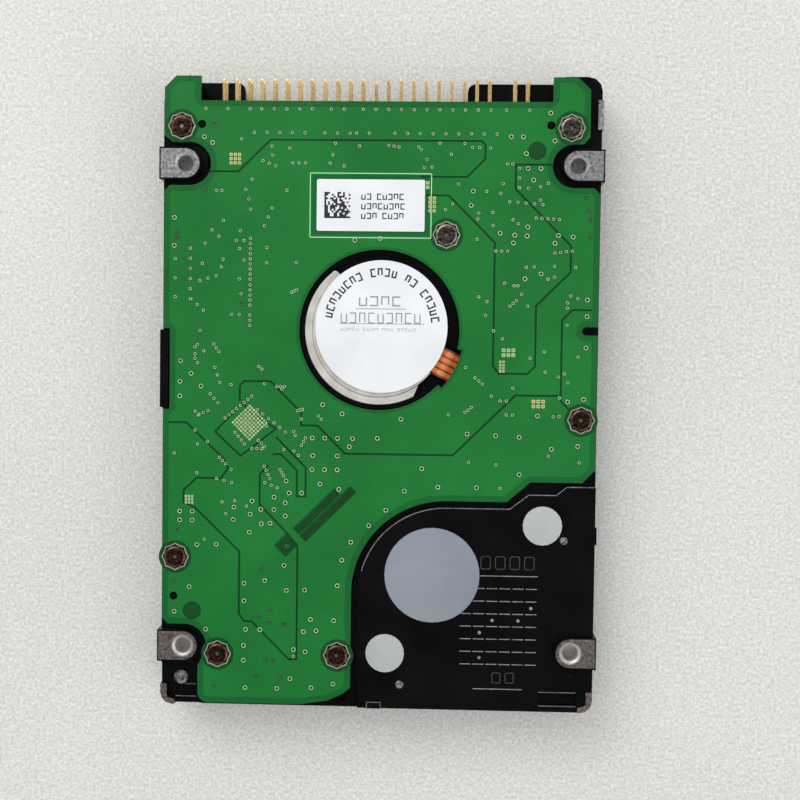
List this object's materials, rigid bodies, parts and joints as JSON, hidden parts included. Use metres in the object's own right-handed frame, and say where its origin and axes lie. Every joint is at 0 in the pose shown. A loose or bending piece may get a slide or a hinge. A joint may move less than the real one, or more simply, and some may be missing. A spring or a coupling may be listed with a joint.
{
  "type": "hard disk drive",
  "caption": "Flat hard disk drive lying on its cover: green circuit board, round motor hub, corner mounting bosses and a row of gold connector pins.",
  "frame": {"origin": "centre of the footprint, on the surface that the drive lies on with its cover down", "axes": "+Z out of the circuit board, +Y towards the pin connector, +X to the right seen from above"},
  "size_m": [0.0698, 0.1002, 0.0095],
  "materials": {
    "black_coat": "satin black coat",
    "stainless": "brushed",
    "rubber": "matt",
    "white_label": "matt printed film",
    "screw_steel": "dark plated, semi-gloss",
    "solder_mask": "semi-gloss solder mask",
    "chip_epoxy": "moulded epoxy",
    "black_plastic": "moulded, glass filled",
    "gold": "gold plated",
    "motor_steel": "turned",
    "polyimide": "polyimide film with copper",
    "silicon_steel": "laminated",
    "copper": "enamelled wire",
    "bare_aluminium": "machined",
    "magnet": "nickel plated",
    "mirror_disc": "polished",
    "ivory_plastic": "moulded",
    "filter_cloth": "non-woven",
    "foil": "matt foil tape"
  },
  "bodies": {
    "root": {"base_casting": "black_coat", "top_cover": "stainless", "bearing_sleeve": "stainless", "pivot_shaft": "stainless", "cover_gasket": "rubber", "crash_stop_inner": "rubber", "crash_stop_outer": "rubber", "cover_label": "white_label", "board_label": "white_label", "motor_label": "white_label", "cover_screw_1": "screw_steel", "cover_screw_2": "screw_steel", "cover_screw_3": "screw_steel", "cover_screw_4": "screw_steel", "cover_screw_5": "screw_steel", "cover_screw_6": "screw_steel", "board_screw_1": "screw_steel", "board_screw_2": "screw_steel", "board_screw_3": "screw_steel", "board_screw_4": "screw_steel", "board_screw_5": "screw_steel", "board_screw_6": "screw_steel", "board_screw_7": "screw_steel", "circuit_board": "solder_mask", "controller_chip": "chip_epoxy", "motor_driver_chip": "chip_epoxy", "memory_chip": "chip_epoxy", "connector_housing": "black_plastic", "pin_row_even": "gold", "pin_row_odd": "gold", "motor_base": "motor_steel", "motor_flex": "polyimide", "flex_loop": "polyimide", "stator_core": "silicon_steel", "stator_windings": "copper", "vcm_yoke_cover_side": "magnet", "vcm_yoke_base_side": "magnet", "vcm_magnet_cover_side": "magnet", "vcm_magnet_base_side": "magnet", "parking_ramp": "ivory_plastic", "flex_bracket": "ivory_plastic", "recirculation_filter": "filter_cloth", "breather_filter": "filter_cloth", "pivot_seal": "foil", "vent_seal_upper": "foil", "vent_seal_lower": "foil"},
    "spindle": {"spindle_hub": "bare_aluminium", "spindle_shaft": "stainless", "rotor_magnet": "magnet", "platter": "mirror_disc", "disk_clamp": "stainless", "clamp_screw": "screw_steel"},
    "actuator": {"actuator_arm": "bare_aluminium", "pivot_bearing": "stainless", "voice_coil": "copper", "suspension_cover_side": "stainless", "suspension_base_side": "stainless", "slider_cover_side": "chip_epoxy", "slider_base_side": "chip_epoxy"},
    "latch": {"inertia_latch": "ivory_plastic"}
  },
  "joints": [
    {"name": "spindle_spin", "type": "hinge", "parent": "root", "child": "spindle", "pos_m": [0, 0.0102, 0.0035], "axis": [0, 0, 1], "continuous": true},
    {"name": "actuator_swing", "type": "hinge", "parent": "root", "child": "actuator", "pos_m": [0.00885, -0.02855, 0.0035], "axis": [0, 0, 1], "range_deg": [-40, 0]},
    {"name": "latch_swing", "type": "hinge", "parent": "root", "child": "latch", "pos_m": [0.0262, -0.0422, 0.0035], "axis": [0, 0, 1], "range_deg": [-14, 0]}
  ]
}
